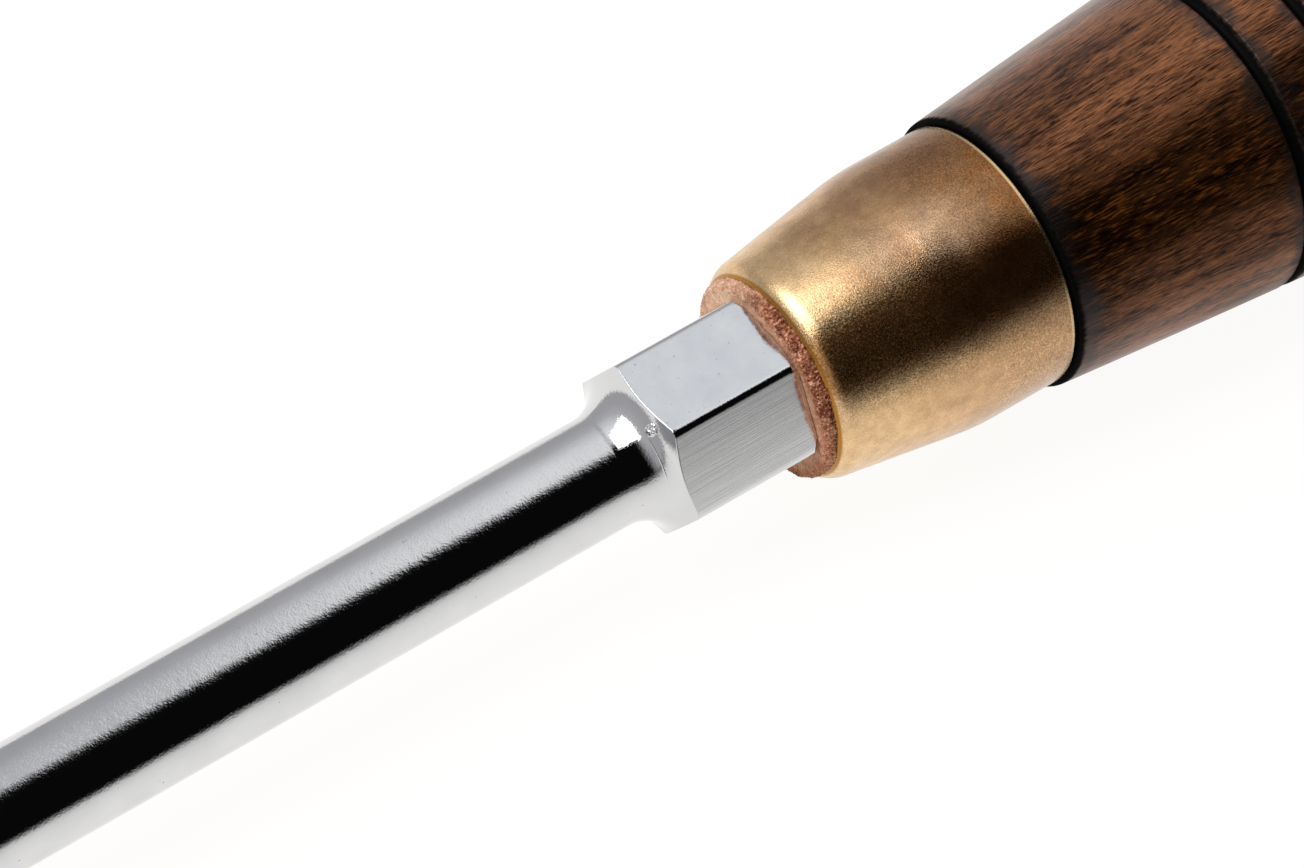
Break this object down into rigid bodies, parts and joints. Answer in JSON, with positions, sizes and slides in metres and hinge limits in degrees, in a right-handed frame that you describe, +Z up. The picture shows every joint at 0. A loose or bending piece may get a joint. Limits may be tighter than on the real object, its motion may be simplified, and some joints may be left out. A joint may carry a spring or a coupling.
{
  "type": "cross-head screwdriver",
  "caption": "Cross-head screwdriver with a chromed round blade, hexagon bolster, leather washer, brass ferrule and stained wooden handle on a riveted through tang.",
  "frame": {"origin": "middle of the tool's box, on the bench that it lies on", "axes": "+X from the tip towards the butt, +Z up from the bench; the tool's own axis rises a little towards the butt"},
  "size_m": [0.3272, 0.0314, 0.0321],
  "materials": {
    "chromed_steel": "bright chrome with a fine orange peel, brushed on the hexagon flats",
    "tan_leather": "smooth tan faces with a fibrous cut edge",
    "satin_brass": "satin with a brown patina",
    "stained_wood": "dark brown stain under satin lacquer, with burnt rings",
    "butt_leather": "smooth tan faces with a fibrous cut edge",
    "bright_steel": "turned bright"
  },
  "bodies": {
    "root": {"blade": "chromed_steel", "bolster_washer": "tan_leather", "ferrule": "satin_brass", "handle": "stained_wood", "butt_washer": "butt_leather", "striking_cap": "bright_steel"}
  },
  "joints": []
}
